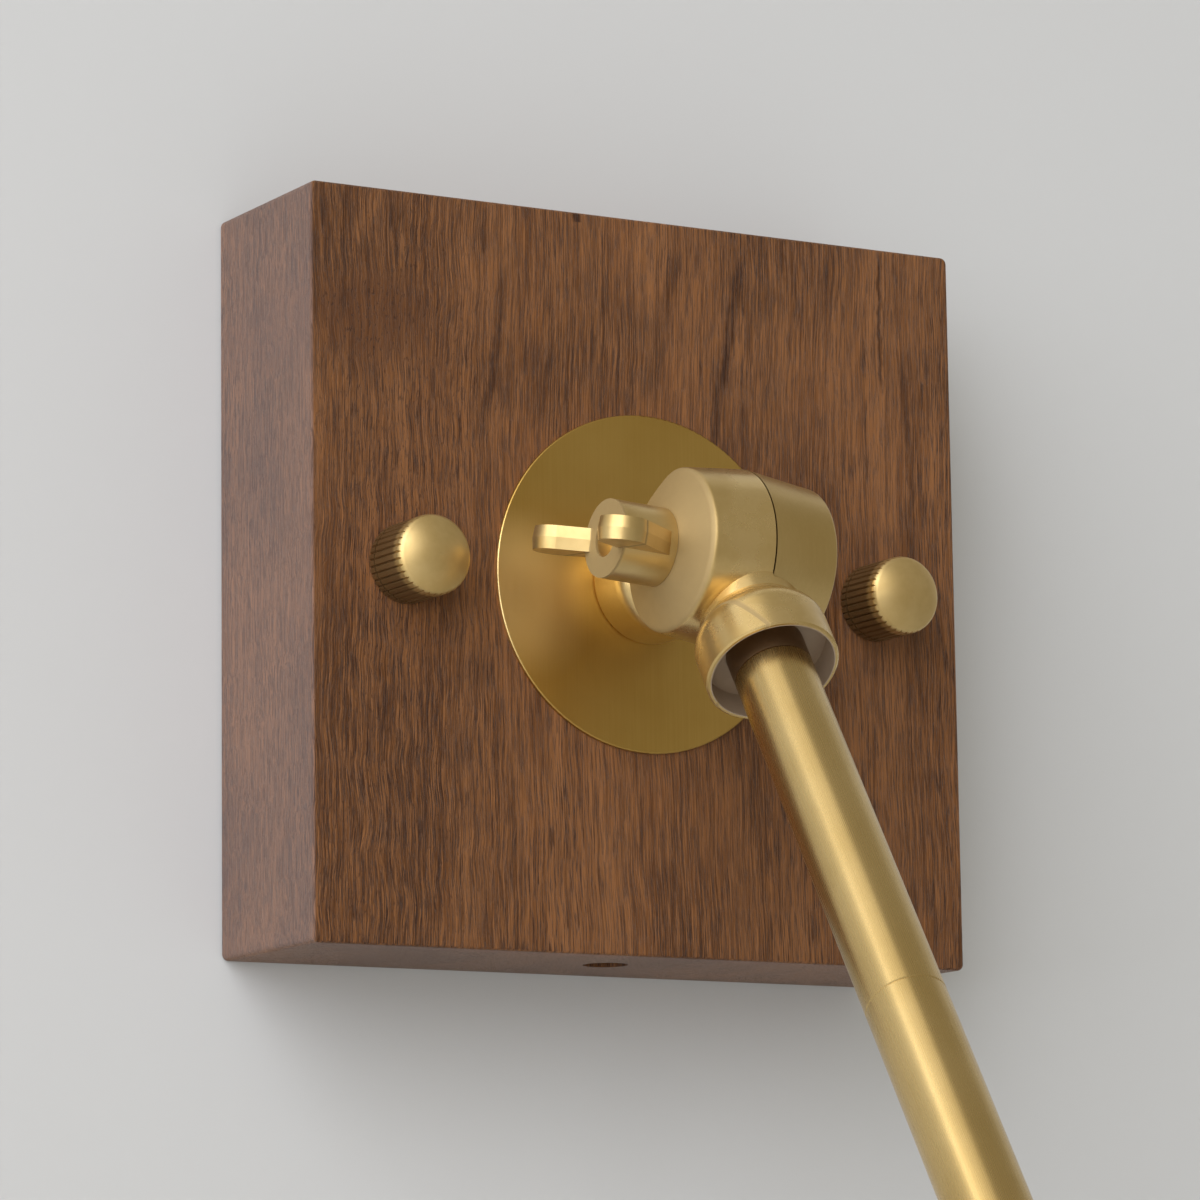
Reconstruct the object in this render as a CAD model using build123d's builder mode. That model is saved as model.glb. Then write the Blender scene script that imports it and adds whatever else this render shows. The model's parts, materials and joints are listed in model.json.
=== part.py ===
from build123d import *
import os
from math import asin, atan, atan2, cos, degrees, radians, sin, sqrt, tan

# Articulating wall lamp: a square wooden mounting block with a brass rosette, a
# split knuckle joint with a wing screw, a tubular arm, a second knuckle and a
# shaded lamp head.  Millimetres.  The origin is the centre of the block's back
# face, on the wall.  X runs to the right, -Y out of the wall and Z up.

# ---- driving dimensions ----------------------------------------------------

# mounting block and what it hides
block_side = 110.0
block_depth = 29.0
block_corner_round = 1.0
block_edge_round = 0.45
cavity_width = 94.0
cavity_height = 64.0
cavity_depth = 19.0
cavity_corner = 6.0
cord_hole_radius = 3.4
cord_hole_reach = 16.0
bracket_length = 88.0
bracket_height = 24.0
bracket_thickness = 2.0
wall_hole_spacing = 48.0
wall_hole_radius = 2.5
wire_window_radius = 7.0
stud_spacing = 80.0
stud_radius = 2.0
stud_hole_radius = 2.4
running_gap = 0.05

# thumb nuts
nut_radius = 5.85
nut_skirt = 8.3
nut_dome = 2.5
nut_rim_round = 1.2
nut_grooves = 36
nut_groove_depth = 0.3
nut_groove_width = 0.42
nut_bore_roof = 0.8
nut_ring_height = 1.3
nut_ring_cut = 0.35

# rosette and the hollow threaded nipple through it
rosette_radius = 25.2
rosette_thickness = 0.6
nipple_radius = 4.85
nipple_bore = 3.4
hex_nut_flats = 13.0
hex_nut_thickness = 3.0
washer_radius = 9.0
washer_thickness = 1.0

# knuckles: two castings a side, split square to the tilt axis
pivot_reach = 52.4
drum_radius = 13.1
drum_half_width = 11.8
screw_side_taper = 7.0
screw_side_cone = 20.0
screw_side_flat = 5.9
screw_side_round = 1.2
thread_side_width = 11.1
thread_side_taper = 6.0
thread_side_round = 0.6
split_gap = 0.12
cut_back = 11.4
cut_corner = 6.5
neck_radius = 7.5
neck_flare = 0.4
neck_hollow = 1.2
cup_floor = 13.2
cup_radius = 9.7
base_cup_radius = 9.1
cup_wall = 0.7
cup_shoulder = 3.8
cup_mouth = 22.8
cup_lip = 0.25
tube_seat = 18.5
nipple_seat = 15.0
part_clearance = 0.6
wire_hole_radius = 1.7
wire_hole_offset = 2.2
chamber_inner = 4.4
chamber_outer = 8.4
chamber_depth = 7.3
friction_inner = 9.2
friction_outer = 11.6
friction_thickness = 1.2

# wing screws
screw_radius = 2.5
screw_clearance = 0.3
screw_reach = 9.0
barrel_radius = 5.7
barrel_length = 8.65
barrel_bore = 2.7
barrel_bore_depth = 2.5
wing_thickness = 3.4
wing_draft = 7.0
wing_lobe_radius = 3.5
wing_lobe_reach = 9.4
wing_lobe_lead = 2.6
wing_foot = 0.5
wing_crotch = 0.9
wing_turn = 5.0

# arm
base_swivel = 4.3
arm_lean = 36.8
arm_length = 240.0
tube_radius = 5.7
tube_bore = 4.9
tube_chamfer = 0.15
ferrule_end = 23.3
seam_place = 85.5
coupler_bore = 3.6
coupler_length = 24.0
arm_nipple_end = 30.0
wire_radius = 0.9
wire_spacing = 2.4

# lamp head, measured along its stem from the head pivot
spacer_end = 30.0
head_nipple_end = 44.0
socket_cup_radius = 18.5
socket_cup_wall = 0.8
socket_cup_shoulder = 9.0
shade_seat = 75.0
holder_radius = 13.6
holder_top = 45.5
holder_flange_radius = 17.4
holder_flange_thickness = 3.0
holder_skirt_radius = 14.2
holder_end = 88.0
holder_bore = 8.2
holder_bore_top = 58.0
shell_bore = 7.0
shell_top = 62.0
shell_end = 84.0
shade_ring_radius = 17.4
shade_ring_height = 8.0
shade_hole_radius = 14.6
shade_top_radius = 20.6
shade_shoulder = 5.0
shade_mouth_radius = 62.0
shade_height = 78.0
shade_wall = 1.0
shade_bead = 1.3
bulb_cap_top = 64.5
bulb_cap_end = 90.0
bulb_globe_radius = 20.0
bulb_globe_centre = 112.0
bulb_glass_wall = 0.9
filament_count = 4

# ---- places and directions ---------------------------------------------------

to_wall = Vector(0, 1, 0)
off_wall = Vector(0, -1, 0)
tilt_axis = Vector(cos(radians(base_swivel)), 0, -sin(radians(base_swivel)))
upright = Vector(sin(radians(base_swivel)), 0, cos(radians(base_swivel)))
arm_way = off_wall * sin(radians(arm_lean)) - upright * cos(radians(arm_lean))
head_way = upright * -1
wall_centre = Vector(0, 0, 0)
base_pivot = off_wall * pivot_reach
head_pivot = base_pivot + arm_way * arm_length
arm_back = arm_way * -1
block_front = Plane(origin=off_wall * block_depth, x_dir=(1, 0, 0), z_dir=off_wall)
cavity_floor = Plane(origin=off_wall * cavity_depth, x_dir=(1, 0, 0), z_dir=off_wall)

os.makedirs("parts", exist_ok=True)


def finish(piece, name):
    """Label a finished piece and write it to its own file."""
    piece.part.label = name
    export_step(piece.part, f"parts/{name}.step")


def stem_section(start, way):
    """Plane through a stem: x runs square to it along the tilt axis, y along it."""
    return Plane(origin=start, x_dir=tilt_axis, z_dir=tilt_axis.cross(way))


def cross_section(start, way, distance):
    """Plane square to a stem, at a distance along it."""
    return Plane(origin=start + way * distance, x_dir=tilt_axis, z_dir=way)


def turned(start, way, outline):
    """A turned piece: a closed outline of (radius, distance) points spun about a stem."""
    with BuildPart() as piece:
        with BuildSketch(stem_section(start, way)):
            with BuildLine():
                Polyline(*outline, close=True)
            make_face()
        revolve(axis=Axis(start, way))
    return piece


def around(centre, radius, angle):
    """The point of a circle at an angle in degrees, in a sketch's own two directions."""
    return (centre[0] + radius * cos(radians(angle)), centre[1] + radius * sin(radians(angle)))


def sleeve(start, way, near, far, inner, outer):
    """A plain ring, tube or washer about a stem, from one distance to another."""
    return turned(start, way, [(inner, near), (outer, near), (outer, far), (inner, far)])


# ---- mounting block ------------------------------------------------------------

with BuildPart() as mounting_block:
    with BuildSketch(Plane.XZ):
        Rectangle(block_side, block_side)
    extrude(amount=block_depth)
    fillet(mounting_block.edges().filter_by(Axis.Y), radius=block_corner_round)
    fillet(mounting_block.faces().sort_by(Axis.Y)[0].edges(), radius=block_edge_round)
    with BuildSketch(Plane.XZ):
        RectangleRounded(cavity_width, cavity_height, cavity_corner)
    extrude(amount=cavity_depth, mode=Mode.SUBTRACT)
    with BuildSketch(cavity_floor):
        Circle(nipple_radius + screw_clearance)
        with GridLocations(stud_spacing, 0, 2, 1):
            Circle(stud_hole_radius)
    extrude(amount=block_depth - cavity_depth, mode=Mode.SUBTRACT)
    with BuildSketch(Plane.XY.offset(-block_side / 2)):
        with Locations((0, -cord_hole_reach)):
            Circle(cord_hole_radius)
    extrude(amount=(block_side - cavity_height) / 2, mode=Mode.SUBTRACT)
finish(mounting_block, "mounting_block")

# ---- wall bracket, studs and thumb nuts -------------------------------------------

earth_place = (-13.5, -7.0)

with BuildPart() as wall_bracket:
    with BuildSketch(Plane.XZ):
        RectangleRounded(bracket_length, bracket_height, 4.0)
        Circle(wire_window_radius, mode=Mode.SUBTRACT)
        with GridLocations(wall_hole_spacing, 0, 2, 1):
            Circle(wall_hole_radius, mode=Mode.SUBTRACT)
    extrude(amount=bracket_thickness)
finish(wall_bracket, "wall_bracket")

with BuildPart() as mounting_studs:
    with BuildSketch(Plane.XZ.offset(bracket_thickness)):
        with GridLocations(stud_spacing, 0, 2, 1):
            Circle(stud_radius)
    extrude(amount=block_depth + nut_skirt - 1.0 - bracket_thickness)
finish(mounting_studs, "mounting_studs")

with BuildPart() as earth_screw:
    with BuildSketch(Plane.XZ.offset(bracket_thickness)):
        with Locations(earth_place):
            Circle(3.2)
    extrude(amount=2.2)
    with BuildSketch(Plane.XZ.offset(bracket_thickness + 2.2)):
        with Locations(earth_place):
            Rectangle(4.8, 0.8)
    extrude(amount=-0.9, mode=Mode.SUBTRACT)
finish(earth_screw, "earth_screw")


def thumb_nut(place):
    """A domed nut with a straight knurl, a plain ring near its base and a blind bore."""
    base = Plane(origin=(place, -block_depth - 0.1, 0), x_dir=(1, 0, 0), z_dir=off_wall)
    rim = (nut_radius - nut_rim_round, -nut_skirt)
    dome_radius = (rim[0] ** 2 + nut_dome ** 2 - nut_rim_round ** 2) / (2 * (nut_dome - nut_rim_round))
    dome = (0, dome_radius - nut_skirt - nut_dome)
    meeting = degrees(atan2(rim[1] - dome[1], rim[0]))
    with BuildPart() as nut:
        with BuildSketch(Plane(origin=base.origin, x_dir=(1, 0, 0), z_dir=(0, 0, 1))):
            with BuildLine():
                Polyline((0, dome[1] - dome_radius), (0, 0), (nut_radius, 0), (nut_radius, rim[1]))
                ThreePointArc(*[around(rim, nut_rim_round, angle) for angle in (0, meeting / 2, meeting)])
                ThreePointArc(*[around(dome, dome_radius, angle)
                                for angle in (meeting, (meeting - 90) / 2, -90)])
            make_face()
        revolve(axis=Axis(base.origin, off_wall))
        with BuildSketch(base):
            with PolarLocations(nut_radius, nut_grooves):
                Polygon((-nut_groove_depth, 0), (nut_groove_depth, nut_groove_width),
                        (nut_groove_depth, -nut_groove_width))
        extrude(amount=nut_skirt + nut_dome, mode=Mode.SUBTRACT)
        with BuildSketch(base.offset(nut_ring_height)):
            Circle(nut_radius + 1.0)
            Circle(nut_radius - nut_ring_cut, mode=Mode.SUBTRACT)
        extrude(amount=nut_ring_cut, mode=Mode.SUBTRACT)
        with BuildSketch(base):
            Circle(stud_radius + running_gap)
        extrude(amount=nut_skirt - nut_bore_roof, mode=Mode.SUBTRACT)
    return nut


for side, name in ((-1, "thumb_nut_left"), (1, "thumb_nut_right")):
    finish(thumb_nut(side * stud_spacing / 2), name)

# ---- rosette, threaded nipple and their nuts -----------------------------------------

with BuildPart() as rosette:
    with BuildSketch(block_front):
        Circle(rosette_radius)
        Circle(nipple_radius + screw_clearance, mode=Mode.SUBTRACT)
    extrude(amount=rosette_thickness)
    fillet(rosette.edges().group_by(Axis.Y)[0].sort_by(SortBy.RADIUS)[-1], radius=0.25)
finish(rosette, "rosette")

nipple_back = cavity_depth - washer_thickness - hex_nut_thickness - 2.0
nipple_front = pivot_reach - nipple_seat - 0.2
finish(sleeve(wall_centre, off_wall, nipple_back, nipple_front, nipple_bore, nipple_radius),
       "threaded_nipple")
finish(sleeve(wall_centre, off_wall, cavity_depth - washer_thickness, cavity_depth,
              nipple_radius + running_gap, washer_radius), "nipple_washer")


def hex_nut(start, way, near):
    """A hexagon nut on a threaded nipple."""
    with BuildPart() as nut:
        with BuildSketch(cross_section(start, way, near)):
            RegularPolygon(hex_nut_flats / 2, 6, major_radius=False)
            Circle(nipple_radius + running_gap, mode=Mode.SUBTRACT)
        extrude(amount=hex_nut_thickness)
    return nut


finish(hex_nut(wall_centre, off_wall, cavity_depth - washer_thickness - hex_nut_thickness), "nipple_nut")
finish(hex_nut(wall_centre, off_wall, block_depth + rosette_thickness), "rosette_nut")

# ---- wiring in the block ----------------------------------------------------------------

terminal_width = 28.0
terminal_low = 15.0
terminal_high = 28.0
terminal_back = 3.5
terminal_front = 15.0
terminal_poles = 2
terminal_pitch = 10.0

with BuildPart() as terminal_block:
    with BuildSketch(Plane.XY.offset(terminal_low)):
        with Locations((0, -(terminal_back + terminal_front) / 2)):
            RectangleRounded(terminal_width, terminal_front - terminal_back, 1.5)
    extrude(amount=terminal_high - terminal_low)
    with BuildSketch(Plane.XY.offset(terminal_low)):
        with Locations((0, -(terminal_back + terminal_front) / 2)):
            with GridLocations(terminal_pitch, 0, terminal_poles, 1):
                Circle(2.3)
    extrude(amount=terminal_high - terminal_low, mode=Mode.SUBTRACT)
finish(terminal_block, "terminal_block")

with BuildPart() as terminal_inserts:
    with BuildSketch(Plane.XY.offset(terminal_low + 0.5)):
        with Locations((0, -(terminal_back + terminal_front) / 2)):
            with GridLocations(terminal_pitch, 0, terminal_poles, 1):
                Circle(2.25)
                Circle(1.2, mode=Mode.SUBTRACT)
    extrude(amount=terminal_high - terminal_low - 1.0)
finish(terminal_inserts, "terminal_inserts")


def base_wire(side):
    """One insulated core from its terminal, round into the hollow nipple."""
    terminal = Vector(side * terminal_pitch / 2, -(terminal_back + terminal_front) / 2, terminal_low)
    inside = side * wire_spacing / 2
    route = [
        (terminal.X, terminal.Y, terminal.Z),
        (terminal.X, terminal.Y, terminal.Z - 4.0),
        (inside, terminal.Y, 0),
        (inside, -nipple_front + 0.5, 0),
    ]
    with BuildPart() as wire:
        with BuildLine() as path:
            FilletPolyline(*route, radius=2.5)
        with BuildSketch(Plane(origin=route[0], z_dir=(0, 0, -1))):
            Circle(wire_radius)
        sweep(path=path.wires()[0])
    return wire


for side, colour in ((-1, "live"), (1, "neutral")):
    finish(base_wire(side), f"base_wire_{colour}")

# ---- knuckle castings --------------------------------------------------------------------


def knuckle_half(pivot, stem_way, side, cup, screw_hole, screw_depth, pocket):
    """One casting of a knuckle: a half drum, a neck and the cup on its stem.

    side is -1 for the half that the wing screw bears on, which has a coned face and a flattened
    end, and +1 for the round threaded half.  cup is the outer radius of its cup.
    """
    outward = tilt_axis * side
    split = Plane(origin=pivot + outward * split_gap, x_dir=stem_way, z_dir=outward)
    shoulder = (cup - cup_shoulder, cup_floor + cup_shoulder)
    aside = neck_radius + neck_hollow - shoulder[0]
    drop = sqrt((cup_shoulder + neck_hollow) ** 2 - aside ** 2)
    hollow = (neck_radius + neck_hollow, shoulder[1] - drop)
    meeting = degrees(atan2(drop, -aside))
    with BuildPart() as half:
        with BuildSketch(split) as outline:
            Circle(drum_radius)
            if side < 0:
                with Locations((-cut_back - drum_radius, 0)):
                    Rectangle(2 * drum_radius, 3 * drum_radius, mode=Mode.SUBTRACT)
                fillet(outline.vertices(), radius=cut_corner)
        if side < 0:
            extrude(amount=drum_half_width - split_gap, taper=screw_side_taper)
            fall = drum_radius * tan(radians(screw_side_cone))
            with BuildSketch(Plane(origin=pivot, x_dir=outward, z_dir=outward.cross(stem_way))):
                with BuildLine():
                    Polyline((drum_half_width, screw_side_flat),
                             (drum_half_width - fall, screw_side_flat + drum_radius),
                             (drum_half_width + fall, screw_side_flat + drum_radius),
                             (drum_half_width + fall, screw_side_flat), close=True)
                make_face()
            revolve(axis=Axis(pivot, outward), mode=Mode.SUBTRACT)
            cone = half.faces().sort_by(Axis(pivot, outward))[-2]
            fillet(cone.outer_wire().edges(), radius=screw_side_round)
        else:
            extrude(amount=thread_side_width - split_gap, taper=thread_side_taper)
            fillet(half.faces().sort_by(Axis(pivot, outward))[-1].edges(), radius=thread_side_round)
        with BuildSketch(stem_section(pivot, stem_way)):
            with BuildLine():
                Polyline((neck_radius, hollow[1]), (neck_radius + neck_flare / 5, cup_floor - neck_flare),
                         (neck_radius + neck_flare, chamber_outer), (0, chamber_outer), (0, cup_mouth),
                         (cup - cup_lip, cup_mouth), (cup, cup_mouth - cup_lip), (cup, shoulder[1]))
                ThreePointArc(*[around(shoulder, cup_shoulder, angle)
                                for angle in (0, (meeting - 180) / 2, meeting - 180)])
                ThreePointArc(*[around(hollow, neck_hollow, angle)
                                for angle in (meeting, (meeting + 180) / 2, 180)])
            make_face()
        revolve(axis=Axis(pivot, stem_way))
        with BuildSketch(split):
            Circle(drum_radius + part_clearance)
        extrude(amount=-2 * drum_half_width, mode=Mode.SUBTRACT)
        with BuildSketch(split):
            Circle(chamber_outer)
            Circle(chamber_inner, mode=Mode.SUBTRACT)
        extrude(amount=chamber_depth, mode=Mode.SUBTRACT)
        with BuildSketch(split):
            Circle(friction_outer + 0.1)
            Circle(friction_inner - 0.1, mode=Mode.SUBTRACT)
        extrude(amount=pocket, mode=Mode.SUBTRACT)
        with BuildSketch(split):
            Circle(screw_hole)
        extrude(amount=screw_depth, mode=Mode.SUBTRACT)
        with BuildSketch(cross_section(pivot, stem_way, tube_seat)):
            Circle(cup - cup_wall)
        extrude(amount=cup_mouth - tube_seat, mode=Mode.SUBTRACT)
        with BuildSketch(cross_section(pivot, stem_way, nipple_seat)):
            Circle(nipple_radius + running_gap)
        extrude(amount=tube_seat - nipple_seat, mode=Mode.SUBTRACT)
        with BuildSketch(cross_section(pivot, stem_way, nipple_seat)):
            with Locations((side * wire_hole_offset, 0)):
                Circle(wire_hole_radius)
        extrude(amount=-(nipple_seat - chamber_outer + 1.0), mode=Mode.SUBTRACT)
    return half


def threaded_half(pivot, stem_way, cup):
    """The round half that the wing screw threads into."""
    pocket = friction_thickness / 2 - split_gap
    return knuckle_half(pivot, stem_way, 1, cup, screw_radius + running_gap, screw_reach + 0.5, pocket)


def screw_half(pivot, stem_way):
    """The half with a flattened end that the wing screw clamps."""
    pocket = friction_thickness / 2 - split_gap + 0.1
    through = 2 * drum_half_width
    return knuckle_half(pivot, stem_way, -1, cup_radius, screw_radius + screw_clearance, through, pocket)


def friction_washer(pivot):
    """A fibre ring let into both halves of a knuckle."""
    with BuildPart() as washer:
        with BuildSketch(Plane(origin=pivot, x_dir=upright, z_dir=tilt_axis)):
            Circle(friction_outer)
            Circle(friction_inner, mode=Mode.SUBTRACT)
        extrude(amount=friction_thickness / 2, both=True)
    return washer


def tangent_point(start, centre, radius, turn_side):
    """Where a line from a start point touches a circle, on one side of it (+1 or -1)."""
    gap = (centre[0] - start[0], centre[1] - start[1])
    distance = sqrt(gap[0] ** 2 + gap[1] ** 2)
    heading = atan2(gap[1], gap[0]) + turn_side * asin(radius / distance)
    run = sqrt(distance ** 2 - radius ** 2)
    return (start[0] + run * cos(heading), start[1] + run * sin(heading))


def wing_outline(seat, end, across, inset):
    """Half the outline of a swept wing, from the screw's axis round its lobe, drawn in by an inset."""
    foot = (seat + wing_foot, barrel_radius - wing_foot - inset)
    crotch = (end - wing_foot - inset, barrel_bore + wing_crotch)
    lobe = (end + wing_lobe_lead, wing_lobe_reach)
    radius = wing_lobe_radius - inset
    outer = tangent_point(foot, lobe, radius, 1)
    inner = tangent_point(crotch, lobe, radius, -1)
    lean = atan2(lobe[1] - foot[1], lobe[0] - foot[0])
    tip = (lobe[0] + radius * cos(lean), lobe[1] + radius * sin(lean))
    foot, crotch, outer, inner, tip = [(x, across * y) for x, y in (foot, crotch, outer, inner, tip)]
    Polyline((crotch[0], 0), (foot[0], 0), foot, outer)
    ThreePointArc(outer, tip, inner)
    Polyline(inner, crotch, (crotch[0], 0))


def wing_screw(pivot, turn):
    """A wing screw: a bored barrel, two swept wings with a parting ridge, and a shank along the tilt axis."""
    outward = tilt_axis * -1
    seat = drum_half_width + running_gap
    end = seat + barrel_length
    wing_way = off_wall * cos(radians(turn)) - upright * sin(radians(turn))
    half_wing = wing_thickness / 2
    with BuildPart() as screw:
        with BuildSketch(Plane(origin=pivot + outward * seat, x_dir=upright, z_dir=outward)):
            Circle(barrel_radius)
        extrude(amount=barrel_length)
        for side in (1, -1):
            for face in (1, -1):
                wing_plane = Plane(origin=pivot, x_dir=outward, z_dir=outward.cross(wing_way) * face)
                for height in (0, half_wing):
                    with BuildSketch(wing_plane.offset(height)):
                        with BuildLine():
                            wing_outline(seat, end, side * face, height * tan(radians(wing_draft)))
                        make_face()
                loft(ruled=True)
        with BuildSketch(Plane(origin=pivot + outward * end, x_dir=upright, z_dir=outward)):
            Circle(barrel_bore)
        extrude(amount=-barrel_bore_depth, mode=Mode.SUBTRACT)
        with BuildSketch(Plane(origin=pivot + outward * (seat + 0.5), x_dir=upright, z_dir=outward)):
            Circle(screw_radius)
        extrude(amount=-(seat + 0.5 + screw_reach))
    return screw


finish(threaded_half(base_pivot, to_wall, base_cup_radius), "base_knuckle")
finish(friction_washer(base_pivot), "base_friction_washer")
finish(wing_screw(base_pivot, wing_turn), "base_wing_screw")
finish(screw_half(base_pivot, arm_way), "arm_knuckle")
finish(threaded_half(head_pivot, arm_back, cup_radius), "arm_end_knuckle")
finish(friction_washer(head_pivot), "head_friction_washer")
finish(wing_screw(head_pivot, -wing_turn), "head_wing_screw")
finish(screw_half(head_pivot, head_way), "head_knuckle")

# ---- arm ------------------------------------------------------------------------------------

tube_start = ferrule_end + 0.05
tube_end = arm_length - tube_start


def tube(start, way, near, far):
    """A lamp tube about a stem, its outer edges broken."""
    return turned(start, way, [
        (tube_bore, near), (tube_radius - tube_chamfer, near), (tube_radius, near + tube_chamfer),
        (tube_radius, far - tube_chamfer), (tube_radius - tube_chamfer, far), (tube_bore, far),
    ])


finish(tube(base_pivot, arm_way, tube_start, seam_place), "arm_tube_short")
finish(tube(base_pivot, arm_way, seam_place, tube_end), "arm_tube_long")

with BuildPart() as arm_ferrules:
    for start, way in ((base_pivot, arm_way), (head_pivot, arm_back)):
        with BuildSketch(cross_section(start, way, tube_seat + 0.05)):
            Circle(tube_radius)
            Circle(tube_bore, mode=Mode.SUBTRACT)
        extrude(amount=ferrule_end - tube_seat - 0.05)
finish(arm_ferrules, "arm_ferrules")
finish(sleeve(base_pivot, arm_way, seam_place - coupler_length / 2, seam_place + coupler_length / 2,
              coupler_bore, nipple_radius), "tube_coupler")

with BuildPart() as arm_nipples:
    for start, way in ((base_pivot, arm_way), (head_pivot, arm_back)):
        with BuildSketch(cross_section(start, way, nipple_seat + 0.1)):
            Circle(nipple_radius)
            Circle(nipple_bore, mode=Mode.SUBTRACT)
        extrude(amount=arm_nipple_end - nipple_seat - 0.1)
finish(arm_nipples, "arm_nipples")


def straight_wire(start, way, side, near, far):
    """A straight insulated core beside the axis of a stem."""
    with BuildPart() as wire:
        with BuildSketch(cross_section(start, way, near)):
            with Locations((side * wire_spacing / 2, 0)):
                Circle(wire_radius)
        extrude(amount=far - near)
    return wire


for side, colour in ((-1, "live"), (1, "neutral")):
    finish(straight_wire(base_pivot, arm_way, side, nipple_seat + 0.5, arm_length - nipple_seat - 0.5),
           f"arm_wire_{colour}")
    finish(straight_wire(head_pivot, head_way, side, nipple_seat + 0.5, holder_top + 2.0),
           f"head_wire_{colour}")

# ---- lamp head ---------------------------------------------------------------------------------

finish(tube(head_pivot, head_way, tube_seat + 0.05, spacer_end), "head_spacer")
finish(sleeve(head_pivot, head_way, nipple_seat + 0.1, head_nipple_end, nipple_bore, nipple_radius),
       "head_nipple")

cup_rim = shade_seat - 0.1
with BuildPart() as socket_cup:
    with BuildSketch(stem_section(head_pivot, head_way)):
        for inset, way_in in ((0, Mode.ADD), (socket_cup_wall, Mode.SUBTRACT)):
            side = socket_cup_radius - inset
            top = spacer_end + inset
            with BuildLine():
                Polyline((side, top + socket_cup_shoulder), (side, cup_rim), (0, cup_rim),
                         (0, top), (side - socket_cup_shoulder, top))
                RadiusArc((side - socket_cup_shoulder, top), (side, top + socket_cup_shoulder),
                          -socket_cup_shoulder)
            make_face(mode=way_in)
    revolve(axis=Axis(head_pivot, head_way))
    with BuildSketch(cross_section(head_pivot, head_way, spacer_end)):
        Circle(nipple_radius + running_gap)
    extrude(amount=2 * socket_cup_wall, mode=Mode.SUBTRACT)
finish(socket_cup, "socket_cup")
finish(hex_nut(head_pivot, head_way, spacer_end + socket_cup_wall + 0.1), "holder_nut")

finish(turned(head_pivot, head_way, [
    (nipple_radius, holder_top),
    (holder_radius, holder_top),
    (holder_radius, shade_seat - holder_flange_thickness),
    (holder_flange_radius, shade_seat - holder_flange_thickness),
    (holder_flange_radius, shade_seat),
    (holder_skirt_radius, shade_seat),
    (holder_skirt_radius, holder_end),
    (holder_bore, holder_end),
    (holder_bore, holder_bore_top),
    (nipple_radius, holder_bore_top),
]), "lampholder_body")
finish(sleeve(head_pivot, head_way, shell_top, shell_end, shell_bore, holder_bore - 0.05), "lampholder_shell")

with BuildPart() as centre_contact:
    with BuildSketch(cross_section(head_pivot, head_way, holder_bore_top)):
        Rectangle(2 * holder_bore - 2.6, 4.0)
    extrude(amount=0.5)
    with BuildSketch(cross_section(head_pivot, head_way, holder_bore_top + 0.5)):
        Circle(1.8)
    extrude(amount=bulb_cap_top - holder_bore_top - 3.1)
finish(centre_contact, "centre_contact")

slope = atan((shade_mouth_radius - shade_top_radius) / shade_height)
thin_across = shade_wall / cos(slope)
shade_end = shade_seat + shade_height
shade_inner_top = shade_top_radius + shade_wall * tan(slope) - thin_across
with BuildPart() as shade:
    with BuildSketch(stem_section(head_pivot, head_way)):
        with BuildLine():
            FilletPolyline((shade_hole_radius, shade_seat), (shade_top_radius, shade_seat),
                           (shade_mouth_radius, shade_end), radius=shade_shoulder)
            Line((shade_mouth_radius, shade_end), (shade_mouth_radius - thin_across, shade_end))
            FilletPolyline((shade_mouth_radius - thin_across, shade_end),
                           (shade_inner_top, shade_seat + shade_wall),
                           (shade_hole_radius, shade_seat + shade_wall), radius=shade_shoulder - shade_wall)
            Line((shade_hole_radius, shade_seat + shade_wall), (shade_hole_radius, shade_seat))
        make_face()
        with Locations((shade_mouth_radius - thin_across / 2, shade_end - 0.4)):
            Circle(shade_bead)
    revolve(axis=Axis(head_pivot, head_way))
finish(shade, "shade")
finish(sleeve(head_pivot, head_way, shade_seat + shade_wall + 0.05,
              shade_seat + shade_wall + shade_ring_height,
              holder_skirt_radius + running_gap, shade_ring_radius), "shade_ring")

# ---- bulb ------------------------------------------------------------------------------------------

cap_radius = shell_bore - running_gap
finish(turned(head_pivot, head_way, [
    (0, bulb_cap_top - 2.5),
    (2.4, bulb_cap_top - 2.5),
    (3.2, bulb_cap_top),
    (cap_radius - 0.8, bulb_cap_top + 1.2),
    (cap_radius, bulb_cap_top + 2.4),
    (cap_radius, shell_end),
    (cap_radius + 0.6, shell_end + 1.5),
    (cap_radius + 0.6, bulb_cap_end),
    (cap_radius - 0.6, bulb_cap_end),
    (cap_radius - 0.6, bulb_cap_top + 3.0),
    (0, bulb_cap_top + 3.0),
]), "bulb_cap")

glass_foot = bulb_cap_end - 8.0
with BuildPart() as bulb_glass:
    with BuildSketch(stem_section(head_pivot, head_way)):
        for inset, way_in in ((0, Mode.ADD), (bulb_glass_wall, Mode.SUBTRACT)):
            neck = cap_radius - 0.7 - inset
            globe = bulb_globe_radius - inset
            with BuildLine():
                Polyline((0, glass_foot), (neck, glass_foot), (neck, bulb_cap_end + 0.5))
                ThreePointArc((neck, bulb_cap_end + 0.5), (globe * 0.72, bulb_globe_centre - 14.0),
                              (globe, bulb_globe_centre))
                RadiusArc((globe, bulb_globe_centre), (0, bulb_globe_centre + globe), -globe)
                Line((0, bulb_globe_centre + globe), (0, glass_foot))
            make_face(mode=way_in)
    revolve(axis=Axis(head_pivot, head_way))
finish(bulb_glass, "bulb_glass")

with BuildPart() as bulb_filaments:
    with BuildSketch(cross_section(head_pivot, head_way, bulb_cap_top + 3.1)):
        Circle(2.2)
    extrude(amount=bulb_cap_end + 2.0 - bulb_cap_top - 3.1)
    with BuildSketch(cross_section(head_pivot, head_way, bulb_cap_end + 1.0)):
        with PolarLocations(1.6, filament_count):
            Circle(0.7)
    extrude(amount=bulb_globe_centre + 9.0 - bulb_cap_end)
finish(bulb_filaments, "bulb_filaments")
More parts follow.
